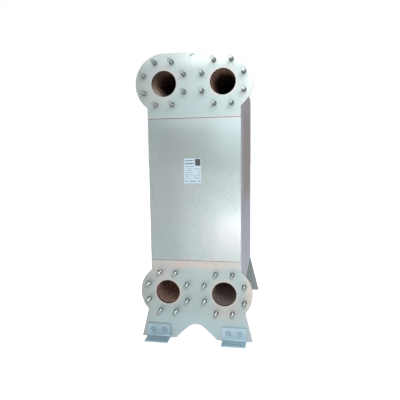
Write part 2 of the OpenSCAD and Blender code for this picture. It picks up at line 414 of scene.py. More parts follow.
def addPlateBlush(tree, place, grain, distance, inFront):
    # braze vapour tints the steel along the seams and, in patches, round the ports
    look = plateLook
    x, _, z = axes(tree, place)
    wander = spread(tree, noiseField(tree, place, look["wanderScale"]), *look["wander"])
    ring = fade(tree, calc(tree, "ADD", distance, wander), *look["ringReach"])
    level = fade(tree, z, *look["ringZ"])
    level = calc(tree, "MULTIPLY_ADD", grain["Blotch"], look["ringBlotch"], level)
    seam = placeGroup(tree, seamBlush, Vector=place, Blotch=grain["Blotch"])["Mask"]
    blush = calc(tree, "MAXIMUM", product(tree, ring, level, inFront), seam, clamp=True)
    for patch in look["patches"]:
        mask = product(tree, addPlatePatch(tree, x, z, wander, patch), inFront)
        blush = calc(tree, "MAXIMUM", blush, mask)
    return blush


def makePlateSteel():
    material, tree, place, shader = newMaterial("plateSteel")
    look = plateLook
    grain = placeGrain(tree, place, look)
    x, y, z = axes(tree, place)
    distance = placeGroup(tree, portDistance, Vector=place)["Distance"]
    isUpper = calc(tree, "GREATER_THAN", z, portMidZ)
    inFront = calc(tree, "LESS_THAN", y, 0.0)  # the rear plates have no ports
    mottle = fade(tree, noiseField(tree, place, *look["mottleNoise"]), *look["mottle"])
    topHighlight = product(tree, fade(tree, z, *look["topEdgeZ"]), fade(tree, x, *look["topEdgeX"]))
    earHighlight = product(tree, fade(tree, x, *look["upperEarX"]), isUpper)
    shade = product(tree, fade(tree, z, *look["shadeZ"]), isUpper, fade(tree, x, *look["shadeX"]))
    ear = product(tree, fade(tree, x, *look["earX"]), fade(tree, z, *look["earZ"]),
                  fade(tree, z, *look["earFootZ"]))
    # painted shade on the walls of the front port holes
    hole = product(tree, calc(tree, "LESS_THAN", distance, look["holeReach"]), inFront)
    colour = mixColour(tree, grain["Cloud"], look["cool"], look["pale"])
    colour = layTints(tree, colour, look, [
        ("warm", mottle),
        ("foot", fade(tree, z, *look["footZ"])),
        # painted highlight along the top edge and on the upper right ear
        ("bright", calc(tree, "MAXIMUM", topHighlight, earHighlight)),
        ("shade", shade),  # painted shade: a cooler, darker cloud between the upper ports and the seam
        # painted shade: the rear plates darker
        ("rear", fade(tree, y, *look["rearY"])),
        ("copperTint", addPlateBlush(tree, place, grain, distance, inFront)),
        ("earTint", ear),
        # painted shade towards the left edge
        ("leftEdgeShade", fade(tree, x, *look["leftEdgeShadeX"])),
        ("holeWall", hole),
    ])
    rough = fade(tree, grain["Cloud"], 0.0, 1.0, *look["roughness"])
    rough = calc(tree, "MULTIPLY_ADD", grain["Lines"], look["lineRoughness"], rough)
    metal = calc(tree, "SUBTRACT", 1.0, product(tree, hole, look["holeDull"]))
    finishShader(tree, shader, colour, rough, metal)
    addBump(tree, grain["Lines"], *look["bump"], shader)
    return material


coverLook = {
    "cool": (0.266, 0.310, 0.317, 1),
    "warm": (0.286, 0.317, 0.320, 1),
    "dark": (0.238, 0.274, 0.270, 1),
    "bright": (0.318, 0.405, 0.422, 1),
    "lowRightHighlight": (0.330, 0.343, 0.351, 1),
    "copperTint": (0.368, 0.324, 0.304, 1),
    "cloudScale": 3.2,
    "lineScale": 50.0,
    "blotchStrength": 0.15,
    # handling marks, small and faint
    "markStretch": (1.0, 1.0, 0.6),
    "markNoise": (80.0, 4.0, 0.6),
    "marks": (0.44, 0.66, 0.0, 0.55),
    # painted shade: a dark cloud on the left
    "cloudX": -0.100,
    "cloudReach": (0.015, 0.075, 0.55, 0.0),
    "cloudZ": (seamHighZ - 0.20, seamHighZ - 0.08, 1.0, 0.2),
    # painted shade: a darker band across the sheet, under the high seam
    "bandSlope": 0.12,
    "bandZ": seamHighZ - 0.110,
    "bandReach": (0.050, 0.120, 0.80, 0.0),
    "bandX": (-0.17, -0.10, 0.2, 1.0),
    # painted highlight along the high seam, most of all in its right corner
    "topZ": (seamHighZ - 0.060, seamHighZ - 0.020, 0.0, 0.22),
    "cornerZ": (seamHighZ - 0.24, seamHighZ - 0.04, 0.0, 0.40),
    "cornerX": (0.02, 0.14),
    # a painted highlight over the low right
    "highlightStreaks": 0.05,
    "highlightX": (0.045, 0.125),
    "highlightZ": (0.575, 0.470),
    "highlightFootZ": (0.35, 0.43, 0.3, 1.0),
    "roughness": (0.30, 0.35),
    "markRoughness": 0.03,
    "lineRoughness": 0.05,
    "bump": (0.04, 0.0004),
}


def makeCoverSteel():
    material, tree, place, shader = newMaterial("coverSteel")
    look = coverLook
    grain = placeGrain(tree, place, look)
    x, _, z = axes(tree, place)
    marks = noiseField(tree, stretched(tree, place, look["markStretch"]), *look["markNoise"])
    cloud = fade(tree, gapTo(tree, x, look["cloudX"]), *look["cloudReach"])
    sloping = calc(tree, "MULTIPLY_ADD", x, look["bandSlope"], z)
    shadeBand = fade(tree, gapTo(tree, sloping, look["bandZ"]), *look["bandReach"])
    corner = product(tree, fade(tree, z, *look["cornerZ"]), fade(tree, x, *look["cornerX"]))
    streak = calc(tree, "MULTIPLY_ADD", grain["Blotch"], look["highlightStreaks"], x)
    lowRightHighlight = product(tree, fade(tree, streak, *look["highlightX"]), fade(tree, z, *look["highlightZ"]),
                   fade(tree, z, *look["highlightFootZ"]))
    seam = placeGroup(tree, seamBlush, Vector=place, Blotch=grain["Blotch"])["Mask"]
    colour = mixColour(tree, grain["Cloud"], look["cool"], look["warm"])
    colour = layTints(tree, colour, look, [
        # the cloud on the left and the band are painted shade; the top, the corner and the low right are
        # painted highlights
        ("dark", product(tree, grain["Blotch"], look["blotchStrength"])),
        ("dark", fade(tree, marks, *look["marks"])),
        ("dark", product(tree, cloud, fade(tree, z, *look["cloudZ"]))),
        ("dark", product(tree, shadeBand, fade(tree, x, *look["bandX"]))),
        ("bright", calc(tree, "MAXIMUM", fade(tree, z, *look["topZ"]), corner)),
        ("lowRightHighlight", lowRightHighlight),
        ("copperTint", seam),
    ])
    rough = fade(tree, grain["Cloud"], 0.0, 1.0, *look["roughness"])
    rough = calc(tree, "MULTIPLY_ADD", marks, look["markRoughness"], rough)
    rough = calc(tree, "MULTIPLY_ADD", grain["Lines"], look["lineRoughness"], rough)
    finishShader(tree, shader, colour, rough, 1.0)
    addBump(tree, grain["Lines"], *look["bump"], shader)
    return material


packLook = {
    "steel": (0.295, 0.313, 0.362, 1),
    "brown": (0.238, 0.206, 0.210, 1),
    "braze": (0.17, 0.095, 0.07, 1),
    "cloudScale": 4.0,
    "lineScale": 40.0,
    # the furnace left the upper part brown, except near the front
    "brownY": (packLow.y + 0.02, packLow.y + 0.20),
    "brownZ": (0.50, 0.64),
    "brownTopZ": (0.92, 0.99, 1.0, 0.7),
    "brownStrength": 0.9,
    "cloudStrength": 0.16,
    # the shade of each plate, of each bundle of plates, and of the foot of the pack
    "plateShade": (0.76, 0.96),
    "bundleShade": 0.28,
    "bundleScale": 0.08,
    "footShadeZ": (0.26, 0.38, 0.02, 0.0),
    "brazeStep": (0.80, 0.90, 0.0, 0.85),
    "roughness": (0.22, 0.32),
    "metallic": 0.9,
    "bump": (0.08, 0.0003),
}


def makePackSteel():
    # every plate has its own shade, and copper shows in the step between two plates
    material, tree, place, shader = newMaterial("packSteel")
    look = packLook
    _, y, z = axes(tree, place)
    plate = calc(tree, "DIVIDE", calc(tree, "SUBTRACT", y, packLow.y), platePitch)
    number = calc(tree, "FLOOR", plate)
    own = addNode(tree, "ShaderNodeTexWhiteNoise", noise_dimensions="1D")
    wire(tree, number, own.inputs["W"])
    bundle = addNode(tree, "ShaderNodeTexNoise", noise_dimensions="1D")
    wire(tree, number, bundle.inputs["W"])
    bundle.inputs["Scale"].default_value = look["bundleScale"]
    grain = placeGrain(tree, place, look)
    brown = product(tree, fade(tree, y, *look["brownY"]), fade(tree, z, *look["brownZ"]),
                    fade(tree, z, *look["brownTopZ"]), look["brownStrength"])
    brown = calc(tree, "MULTIPLY_ADD", grain["Cloud"], look["cloudStrength"], brown, clamp=True)
    shade = spread(tree, own.outputs["Value"], *look["plateShade"])
    shade = calc(tree, "MULTIPLY_ADD", bundle.outputs["Fac"], look["bundleShade"], shade)
    shade = calc(tree, "ADD", shade, fade(tree, z, *look["footShadeZ"]))
    colour = scaleColour(tree, mixColour(tree, brown, look["steel"], look["brown"]), shade)
    step = fade(tree, calc(tree, "SUBTRACT", plate, number), *look["brazeStep"])
    colour = mixColour(tree, step, colour, look["braze"])
    rough = spread(tree, own.outputs["Value"], *look["roughness"])
    finishShader(tree, shader, colour, rough, look["metallic"])
    addBump(tree, grain["Lines"], *look["bump"], shader)
    return material


plateSizes = {"rimAngle": 60, "rimBevel": 0.0009, "rimSteps": 3, "flatAxes": (1,)}

plateSteel = makePlateSteel()
coverSteel = makeCoverSteel()
packSteel = makePackSteel()
for node in ("front_upper_plate", "front_lower_plate", "rear_upper_plate", "rear_lower_plate"):
    makeSheet(node, node + "_sheet", plateSizes, plateSteel)
for node in ("front_cover_plate", "rear_cover_plate"):
    makeSheet(node, node + "_sheet", plateSizes, coverSteel)
for node in ("front_end_plate", "rear_end_plate", "channel_plate_pack"):
    coatNode(node, packSteel)
print("plates ready")


seamLook = {
    "warm": (0.290, 0.225, 0.212, 1),
    "grey": (0.200, 0.185, 0.180, 1),
    "spotNoise": (60.0, 3.0),
    "spots": (0.35, 0.65),
    "roughness": (0.35, 0.55),
    "metallic": 0.9,
    "grainScale": 500.0,
    "bump": (0.2, 0.0003),
}


def makeSeamBraze():
    material, tree, place, shader = newMaterial("seamBraze")
    look = seamLook
    spots = noiseField(tree, place, *look["spotNoise"])
    colour = mixColour(tree, fade(tree, spots, *look["spots"]), look["warm"], look["grey"])
    rough = spread(tree, spots, *look["roughness"])
    finishShader(tree, shader, colour, rough, look["metallic"])
    addBump(tree, noiseField(tree, place, look["grainScale"]), *look["bump"], shader)
    return material


seamSizes = {
    "lowDepth": 0.0008, "highDepth": 0.0024, "radius": 0.0011, "inset": 0.001, "belowPlate": 0.0008,
    "steps": 12, "crease": 40,
}


def makeSeamBead(name, plateAbove, depth, material):
    # the round bead of braze that shows in the gap under a plate
    sizes = seamSizes
    low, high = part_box(plateAbove)
    face, outward = (low.y, -1) if low.y < 0 else (high.y, 1)
    length = coverHigh.x - coverLow.x - 2 * sizes["inset"]
    bm = bmesh.new()
    bmesh.ops.create_circle(bm, segments=sizes["steps"], radius=sizes["radius"], cap_ends=True)
    pushOut(bm, (0, 0, length))
    turnMesh(bm, math.pi / 2, "Y")
    bmesh.ops.translate(bm, verts=bm.verts, vec=(
        -length / 2, face - outward * (depth + sizes["radius"]), low.z - sizes["belowPlate"]))
    bmesh.ops.recalc_face_normals(bm, faces=bm.faces)
    markCreases(bm, sizes["crease"])
    finishPiece(bm, name, [material])


seamBraze = makeSeamBraze()
for end in ("front", "rear"):
    makeSeamBead(f"seam_{end}_low", f"{end}_cover_plate", seamSizes["lowDepth"], seamBraze)
    makeSeamBead(f"seam_{end}_high", f"{end}_upper_plate", seamSizes["highDepth"], seamBraze)
print("seams ready")


tunnelSizes = {
    # radii of the ridges, of the land beside them, of the channel mouths and of the outside
    "ridge": 0.0514,
    "land": 0.0524,
    "mouth": 0.0556,
    "outer": 0.0579,
    "pitch": 2 * platePitch,  # a port opens into every second channel
    "landShare": 0.26,
    "mouthsAround": 28,
    "stepsPerMouth": 3,
    "ridgeShare": 0.5,
    "turn": 0.1,  # share of a mouth that the whole ring is turned by
    "flare": 0.0004,  # how far a ridge draws back beside a mouth
    "crease": 50,
}

copperLook = {
    "ridge": (0.760, 0.560, 0.475, 1),
    "stained": (0.540, 0.375, 0.310, 1),
    # the land between the ridges darker, partly its own colour and partly painted shade, and the channel
    # mouths near black with painted shade
    "land": (0.270, 0.165, 0.130, 1),
    "mouth": (0.025, 0.014, 0.011, 1),
    "deepShade": (0.045, 0.022, 0.016, 1),
    "lightPool": (0.980, 0.830, 0.730, 1),
    "deepLight": (0.960, 0.700, 0.600, 1),
    "ash": (0.480, 0.480, 0.500, 1),
    "spotNoise": (55.0, 3.0, 0.6),
    "stains": (0.38, 0.66),
    "landReach": (tunnelSizes["ridge"] + 0.0002, tunnelSizes["land"]),
    "mouthReach": (tunnelSizes["land"] + 0.0002, tunnelSizes["land"] + 0.0012),
    # a painted pool of light along the foot of the upper left tunnel: height over its axis, and depth
    "footZ": (-0.020, 0.014, 1.0, 0.0),
    "rightDrop": -0.012,
    "lightPoolDepth": (0.20, 0.32, 1.0, 0.0),
    # painted shade along the top of the same tunnel
    "topShadeZ": (-0.004, 0.044, 0.10, 0.66),
    # painted light further in, and the lower right tunnel darker near its mouth
    "deepLightDepth": (0.12, 0.26, 0.0, 0.9),
    "ashStrength": 0.42,
    "dullDepth": (0.07, 0.16, 0.18, 0.0),
    # painted shade in the upper tunnels, which are dark past the first plates
    "deepShadeDepth": (0.06, 0.16, 0.0, 0.92),
    "footDepth": -0.20,
    "roughness": (0.3, 0.7, 0.42, 0.58),
    "metallic": 0.7,
    "grainScale": 700.0,
    "bump": (0.25, 0.0003),
}


def makeBrazeCopper():
    material, tree, place, shader = newMaterial("brazeCopper")
    look = copperLook
    distance = placeGroup(tree, portDistance, Vector=place)["Distance"]
    x, y, z = axes(tree, place)
    isUpper = calc(tree, "GREATER_THAN", z, portMidZ)
    isRight = calc(tree, "GREATER_THAN", x, 0.0)
    upperLeft = product(tree, isUpper, calc(tree, "SUBTRACT", 1.0, isRight))
    lowerRight = product(tree, isRight, calc(tree, "SUBTRACT", 1.0, isUpper))
    depth = calc(tree, "SUBTRACT", y, packLow.y)
    height = calc(tree, "SUBTRACT", z, portPlace["upper_left"].z)
    foot = calc(tree, "MULTIPLY_ADD", isRight, look["rightDrop"], height)
    foot = fade(tree, foot, *look["footZ"])
    deepShadeStart = calc(tree, "MULTIPLY_ADD", foot, look["footDepth"], depth)
    spots = noiseField(tree, place, *look["spotNoise"])
    colour = mixColour(tree, fade(tree, spots, *look["stains"]), look["ridge"], look["stained"])
    colour = layTints(tree, colour, look, [
        # painted shade in the land and the channel mouths
        ("land", fade(tree, distance, *look["landReach"])),
        ("mouth", fade(tree, distance, *look["mouthReach"])),
        ("lightPool", product(tree, foot, fade(tree, depth, *look["lightPoolDepth"]), upperLeft)),
        ("mouth", product(tree, fade(tree, height, *look["topShadeZ"]), upperLeft)),
        ("deepLight", fade(tree, depth, *look["deepLightDepth"])),
        ("ash", product(tree, lowerRight, look["ashStrength"])),
        ("mouth", product(tree, fade(tree, depth, *look["dullDepth"]), lowerRight)),
        ("deepShade", product(tree, fade(tree, deepShadeStart, *look["deepShadeDepth"]), isUpper)),
    ])
    finishShader(tree, shader, colour, fade(tree, spots, *look["roughness"]), look["metallic"])
    addBump(tree, noiseField(tree, place, look["grainScale"]), *look["bump"], shader)
    return material


def growRing(bm, edges, depth, ridge, valley):
    # the next ring of the tunnel's wall, whose points stand at the ridge or in the valley
    sizes = tunnelSizes
    made = bmesh.ops.extrude_edge_only(bm, edges=edges)["geom"]
    for vert in vertsOf(made):
        around = math.atan2(vert.co.y, vert.co.x) / math.tau
        share = (around * sizes["mouthsAround"] + sizes["turn"]) % 1.0
        radius = ridge if share < sizes["ridgeShare"] else valley
        across = Vector((vert.co.x, vert.co.y)).normalized() * radius
        vert.co = Vector((across.x, across.y, vert.co.z + depth))
    return [item for item in made if isinstance(item, bmesh.types.BMEdge)]


def makeTunnelMesh():
    # ridges run down the tunnel where the plates touch, with a channel mouth between each two
    sizes = tunnelSizes
    ridge, valley, outer = sizes["ridge"], sizes["land"], sizes["outer"]
    rings = plateCount // 2
    land = sizes["pitch"] * sizes["landShare"]
    mouth = (sizes["pitch"] - land) / 2
    bm = bmesh.new()
    bmesh.ops.create_circle(bm, segments=sizes["mouthsAround"] * sizes["stepsPerMouth"],
                             radius=valley)
    start = loop = list(bm.edges)
    for _ in range(rings):
        loop = growRing(bm, loop, land, ridge, valley)
        loop = growRing(bm, loop, mouth, ridge + sizes["flare"], sizes["mouth"])
        loop = growRing(bm, loop, mouth, ridge, valley)
    loop = growRing(bm, loop, 0.0, outer, outer)
    loop = growRing(bm, loop, -rings * sizes["pitch"], outer, outer)
    bmesh.ops.bridge_loops(bm, edges=loop + start)
    bmesh.ops.recalc_face_normals(bm, faces=bm.faces)
    return bm


def makeTunnels():
    bm = makeTunnelMesh()
    markCreases(bm, tunnelSizes["crease"])
    turnMesh(bm, -math.pi / 2, "X")
    material = makeBrazeCopper()
    low = min(v.co.y for v in bm.verts)
    for name, place in portPlace.items():
        copy = bm.copy()
        bmesh.ops.translate(copy, verts=copy.verts, vec=(place.x, packLow.y - low, place.z))
        finishPiece(copy, "tunnel_" + name, [material], ["collars_" + name])
    bm.free()


makeTunnels()
print("tunnels ready")


studSizes = {
    "radius": 0.00795,
    "root": 0.0068,
    "pitch": 0.002,
    "crest": (0.42, 0.58),  # the shares of a turn between which the thread is at full height
    "length": 0.045,
    "plain": 0.0035,
    "chamfer": 0.0014,
    "stepsPerTurn": 14,
    "crease": 32,
    # radius and height of points up the weld, from its rim to inside the thread
    "weld": [(0.0098, 0.0), (0.0096, 0.00099), (0.0090, 0.001892), (0.00825, 0.0022),
             (0.00755, 0.0034), (0.0064, 0.0036)],
    "lumpyHeight": 0.0023,
    "weldSteps": 24,
    "weldWobble": (0.09, 0.09, 0.35),
    "weldLumps": 260,
}

studLook = {
    "bright": (0.190, 0.212, 0.203, 1),
    "dull": (0.105, 0.120, 0.114, 1),
    "tip": (0.228, 0.258, 0.251, 1),
    "tipHighlight": (0.350, 0.385, 0.380, 1),
    "spotNoise": (90.0, 3.0),
    "spots": (0.40, 0.68),
    "tipY": (faceY - studSizes["length"] + 0.0002, faceY - studSizes["length"] + 0.0012, 1.0, 0.0),
    # painted shade along the thread of the upper right studs, with painted highlights on their ends
    "cornerX": (-0.05, 0.12),
    "cornerStrength": 0.6,
    "tipLightZ": (0.98, 1.05, 0.4, 1.0),
    "roughness": (0.215, 0.355),
    "tipRoughness": 0.235,
    "grainScale": 900.0,
    "bump": (0.12, 0.0002),
}

# the weld flash is dark, partly its own heat tint and partly painted shade at the foot of each stud
weldLook = {
    "metal": (0.095, 0.110, 0.105, 1),
    "heat": (0.080, 0.075, 0.065, 1),
    "spotNoise": (240.0, 3.0),
    "spots": (0.42, 0.62),
    "roughness": (0.3, 0.7, 0.40, 0.60),
    "metallic": 0.9,
    "bump": (0.35, 0.0006),
}


def makeStudSteel():
    material, tree, place, shader = newMaterial("studSteel")
    look = studLook
    x, y, z = axes(tree, place)
    tip = fade(tree, y, *look["tipY"])  # the cut end is duller than the rolled thread
    # painted shade on the upper right threads, and painted highlights on their ends
    corner = product(tree, fade(tree, x, *look["cornerX"]), calc(tree, "GREATER_THAN", z, portMidZ))
    tipLight = product(tree, corner, fade(tree, z, *look["tipLightZ"]))
    spots = noiseField(tree, place, *look["spotNoise"])
    colour = mixColour(tree, fade(tree, spots, *look["spots"]), look["bright"], look["dull"])
    colour = mixColour(tree, product(tree, corner, look["cornerStrength"]), colour, look["dull"])
    colour = mixColour(tree, tip, colour, mixColour(tree, tipLight, look["tip"], look["tipHighlight"]))
    rough = spread(tree, spots, *look["roughness"])
    rough = calc(tree, "MULTIPLY_ADD", tip, look["tipRoughness"], rough)
    finishShader(tree, shader, colour, rough, 1.0)
    addBump(tree, noiseField(tree, place, look["grainScale"]), *look["bump"], shader)
    return material


def makeWeldSteel():
    material, tree, place, shader = newMaterial("weldSteel")
    look = weldLook
    spots = noiseField(tree, place, *look["spotNoise"])
    colour = mixColour(tree, fade(tree, spots, *look["spots"]), look["metal"], look["heat"])
    finishShader(tree, shader, colour, fade(tree, spots, *look["roughness"]), look["metallic"])
    addBump(tree, spots, *look["bump"], shader)
    return material


def makeThread():
    # one turn of the profile is spun up the stud, then cut to length and chamfered
    sizes = studSizes
    pitch, root, radius = sizes["pitch"], sizes["root"], sizes["radius"]
    turns = math.ceil((sizes["length"] - sizes["plain"]) / pitch) + 2
    crestLow, crestHigh = sizes["crest"]
    bm = bmesh.new()
    spinOutline(bm, [(root, 0.0), (radius, crestLow * pitch), (radius, crestHigh * pitch), (root, pitch)],
                sizes["stepsPerTurn"], turns, pitch / sizes["stepsPerTurn"])
    bmesh.ops.translate(bm, verts=bm.verts, vec=(0, 0, sizes["plain"] - pitch))
    for height, above in ((sizes["plain"], False), (sizes["length"], True)):
        bmesh.ops.bisect_plane(bm, geom=bm.verts[:] + bm.edges[:] + bm.faces[:], dist=meshSizes["cut"],
                               plane_co=(0, 0, height), plane_no=(0, 0, 1),
                               clear_outer=above, clear_inner=not above)
    for vert in bm.verts:
        reach = math.hypot(vert.co.x, vert.co.y)
        limit = radius - max(0.0, vert.co.z - sizes["length"] + sizes["chamfer"])
        if reach > limit:
            vert.co.x *= limit / reach
            vert.co.y *= limit / reach
    bmesh.ops.holes_fill(bm, edges=[e for e in bm.edges if e.is_boundary], sides=0)
    return bm


def makeWeld(seed):
    # the flash that the stud weld throws up round the foot
    sizes = studSizes
    bm = bmesh.new()
    spinOutline(bm, sizes["weld"], sizes["weldSteps"])
    for vert in bm.verts:
        wobble = noise.noise(vert.co * sizes["weldLumps"] + Vector((seed, 0, 0)))
        reach = math.hypot(vert.co.x, vert.co.y)
        if reach > sizes["radius"] and vert.co.z < sizes["lumpyHeight"]:
            for axis, strength in enumerate(sizes["weldWobble"]):
                vert.co[axis] *= 1 + wobble * strength
    return bm


def placeStud(part, slotIndex, place, pattern, index):
    # a part of a stud, turned at random about its own axis, goes to its place on the circle
    for face in part.faces:
        face.material_index = slotIndex
    bmesh.ops.recalc_face_normals(part, faces=part.faces)
    turnMesh(part, random.uniform(0, math.tau), "Z")
    turnMesh(part, math.pi / 2, "X")
    angle = (index + 0.5) * math.tau / pattern["count"]
    reach = pattern["pcd_mm"] / 2000
    bmesh.ops.translate(part, verts=part.verts, vec=(
        place.x + reach * math.cos(angle), faceY, place.z + reach * math.sin(angle)))


def makeStuds():
    thread = makeThread()
    materials = [makeStudSteel(), makeWeldSteel()]
    for portNumber, (name, place) in enumerate(portPlace.items()):
        pattern = mounts["studs_" + name]["dims"]
        whole = bmesh.new()
        for index in range(pattern["count"]):
            weld = makeWeld(index + 10 * portNumber)
            for slotIndex, part in enumerate((thread.copy(), weld)):
                placeStud(part, slotIndex, place, pattern, index)
                joinTo(whole, part)
        markCreases(whole, studSizes["crease"])
        finishPiece(whole, "studs_" + name + "_threaded", materials, ["studs_" + name])
    thread.free()


makeStuds()
print("studs ready")


zincLook = {
    "blue": (0.281, 0.386, 0.448, 1),
    "grey": (0.322, 0.417, 0.462, 1),
    # scale of the crystals, and brightness
    "bracket": (240.0, 1.0),
    "fastener": (900.0, 1.06),
    "cloudNoise": (14.0, 3.0),
    "cloudShare": 0.5,
    # painted shade on the left hand brackets and painted light on the right
    "sideX": (-0.13, 0.13),
    "sideShade": (0.95, 1.11),
    # painted shade in the groove of a bolt's head, by the height over the head's underside
    "grooveShade": (0.0012, 0.0020, 0.5, 0.0),
    "grooveShadeStart": -0.0004,
    "roughness": (0.54, 0.66),
    "metallic": 0.74,
    "grainNoise": (300.0, 3.0),
    "bump": (0.08, 0.0003),
}


def makeZinc(name, spangle, brightness, headY=None):
    # the crystals of a zinc coat, each with its own tone
    material, tree, place, shader = newMaterial(name)
    look = zincLook
    x, y, _ = axes(tree, place)
    cells = addNode(tree, "ShaderNodeTexVoronoi")
    wire(tree, place, cells.inputs["Vector"])
    cells.inputs["Scale"].default_value = spangle
    tone = addNode(tree, "ShaderNodeSeparateColor")
    wire(tree, cells.outputs["Color"], tone.inputs[0])
    cloud = product(tree, noiseField(tree, place, *look["cloudNoise"]), look["cloudShare"])
    factor = calc(tree, "MULTIPLY_ADD", tone.outputs["Red"], 1 - look["cloudShare"], cloud)
    # painted shade on the left, painted light on the right
    shade = fade(tree, x, *look["sideX"], *(brightness * share for share in look["sideShade"]))
    # painted shade in the groove round each bolt head
    if headY:
        height = calc(tree, "SUBTRACT", calc(tree, "ABSOLUTE", y), headY)
        grooveShade = product(tree, fade(tree, height, *look["grooveShade"]),
                       calc(tree, "GREATER_THAN", height, look["grooveShadeStart"]))
        shade = calc(tree, "SUBTRACT", shade, grooveShade)
    colour = scaleColour(tree, mixColour(tree, factor, look["blue"], look["grey"]), shade)
    rough = fade(tree, tone.outputs["Green"], 0.0, 1.0, *look["roughness"])
    finishShader(tree, shader, colour, rough, look["metallic"])
    addBump(tree, noiseField(tree, place, *look["grainNoise"]), *look["bump"], shader)
    return material


bracketSizes = {"rimAngle": 50, "rimBevel": 0.0006, "rimSteps": 2, "flatAxes": (0, 1, 2)}

boltSizes = {
    # radius and height of points up the head, from its rim to the middle of its socket
    "head": [(0.0104, 0.0), (0.0105, 0.0004), (0.0104, 0.0010), (0.0100, 0.0013), (0.0090, 0.0013),
             (0.0086, 0.0008), (0.0082, 0.0008), (0.0079, 0.0030), (0.0075, 0.0037), (0.0066, 0.0041),
             (0.0048, 0.0042), (0.0042, 0.0040), (0.0038, 0.0016), (0.0, 0.0010)],
    "headHeight": 0.0045,
    "shank": 0.005,
    "root": 0.0043,
    "pitch": 0.0015,
    "threaded": 0.016,
    "lead": 0.0008,
    "endRadius": 0.0037,
    "runOut": 0.0006,
    "steps": 32,
    "crease": 35,
}


def makeBoltMesh(length):
    # tail at the origin, with a ring for each turn of the thread
    sizes = boltSizes
    root, shank, pitch, lead = sizes["root"], sizes["shank"], sizes["pitch"], sizes["lead"]
    headUnder = length - sizes["headHeight"]
    outline = [(0.0, 0.0), (sizes["endRadius"], 0.0), (root, lead)]
    for turn in range(int(sizes["threaded"] / pitch)):
        start = lead + turn * pitch
        outline += [(shank, start + pitch / 2), (root, start + pitch)]
    outline += [(shank, outline[-1][1] + sizes["runOut"]), (shank, headUnder)]
    outline += [(radius, headUnder + height) for radius, height in sizes["head"]]
    bm = bmesh.new()
    spinOutline(bm, outline, sizes["steps"])
    bmesh.ops.recalc_face_normals(bm, faces=bm.faces)
    return bm


def makeBolts(node, material):
    # two low round heads, whose threaded ends come out behind
    low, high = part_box(node)
    outward, tailY = (1, low.y) if low.y + high.y > 0 else (-1, high.y)
    radius = (high.z - low.z) / 2
    bolt = makeBoltMesh(high.y - low.y)
    turnMesh(bolt, -outward * math.pi / 2, "X")
    whole = bmesh.new()
    for x in (low.x + radius, high.x - radius):
        copy = bolt.copy()
        bmesh.ops.translate(copy, verts=copy.verts, vec=(x, tailY, low.z + radius))
        joinTo(whole, copy)
    bolt.free()
    markCreases(whole, boltSizes["crease"])
    finishPiece(whole, node + "_turned", [material], [node])


bracketZinc = makeZinc("bracketZinc", *zincLook["bracket"])
headY = -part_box("bolts_front_left")[0].y - boltSizes["headHeight"]
fastenerZinc = makeZinc("fastenerZinc", *zincLook["fastener"], headY)
for end in ("front", "rear"):
    for hand in ("left", "right"):
        bracket = f"bracket_{end}_{hand}"
        makeSheet(bracket, bracket + "_angle", bracketSizes, bracketZinc)
        makeBolts(f"bolts_{end}_{hand}", fastenerZinc)
        coatNode(f"nuts_{end}_{hand}", fastenerZinc)
print("brackets ready")


labelSizes = {
    "left": -0.0415, "right": 0.0295, "bottom": 0.6630, "top": 0.7650, "thickness": 0.0004,
    "corner": 0.002, "cornerSteps": 5, "crease": 30,
}

labelLook = {
    "film": (0.355, 0.452, 0.510, 1),
    "greyInk": (0.140, 0.215, 0.250, 1),
    "ink": (0.022, 0.030, 0.034, 1),
    # plain marks that stand for printing: left, right, height of the middle and half the mark's
    # height, as shares of the label
    "block": [(0.65, 0.965, 0.84, 0.135)],
    "dots": [(0.10, 0.17, 0.09, 0.03), (0.86, 0.92, 0.09, 0.03)],
    "dotStrength": 0.85,
    "darkRows": [(0.06, 0.58, 0.910, 0.018), (0.06, 0.58, 0.792, 0.022)],
    "greyRows": [
        (0.08, 0.58, 0.672, 0.014), (0.22, 0.40, 0.590, 0.012), (0.55, 0.94, 0.590, 0.012),
        (0.08, 0.50, 0.510, 0.012), (0.76, 0.94, 0.510, 0.012), (0.08, 0.44, 0.430, 0.012),
        (0.80, 0.94, 0.430, 0.012), (0.08, 0.50, 0.350, 0.012), (0.74, 0.94, 0.360, 0.014),
        (0.08, 0.30, 0.290, 0.014), (0.52, 0.92, 0.300, 0.014), (0.08, 0.40, 0.215, 0.016),
        (0.55, 0.92, 0.215, 0.016), (0.30, 0.72, 0.085, 0.030),
    ],
    # gaps that break the rows up
    "gapStretch": (1.0, 1.0, 0.05),
    "gapNoise": (900.0, 1.0),
    "gaps": (0.42, 0.50, 0.35, 1.0),
    "roughness": 0.42,
}


def addMarks(tree, across, up, marks):
    mask = 0.0
    for left, right, height, half in marks:
        mark = product(
            tree, calc(tree, "GREATER_THAN", across, left), calc(tree, "LESS_THAN", across, right),
            calc(tree, "GREATER_THAN", up, height - half), calc(tree, "LESS_THAN", up, height + half))
        mask = calc(tree, "MAXIMUM", mask, mark)
    return mask


def shareAlong(tree, value, low, high):
    return calc(tree, "DIVIDE", calc(tree, "SUBTRACT", value, low), high - low)


def makeLabelFilm():
    material, tree, place, shader = newMaterial("labelFilm")
    look, sizes = labelLook, labelSizes
    x, _, z = axes(tree, place)
    across = shareAlong(tree, x, sizes["left"], sizes["right"])
    up = shareAlong(tree, z, sizes["bottom"], sizes["top"])
    broken = noiseField(tree, stretched(tree, place, look["gapStretch"]), *look["gapNoise"])
    broken = fade(tree, broken, *look["gaps"])
    dots = product(tree, addMarks(tree, across, up, look["dots"]), look["dotStrength"])
    colour = layTints(tree, look["film"], look, [
        ("greyInk", product(tree, addMarks(tree, across, up, look["greyRows"]), broken)),
        ("ink", product(tree, addMarks(tree, across, up, look["darkRows"]), broken)),
        ("ink", calc(tree, "MAXIMUM", addMarks(tree, across, up, look["block"]), dots)),
    ])
    finishShader(tree, shader, colour, look["roughness"], 0.0)
    return material


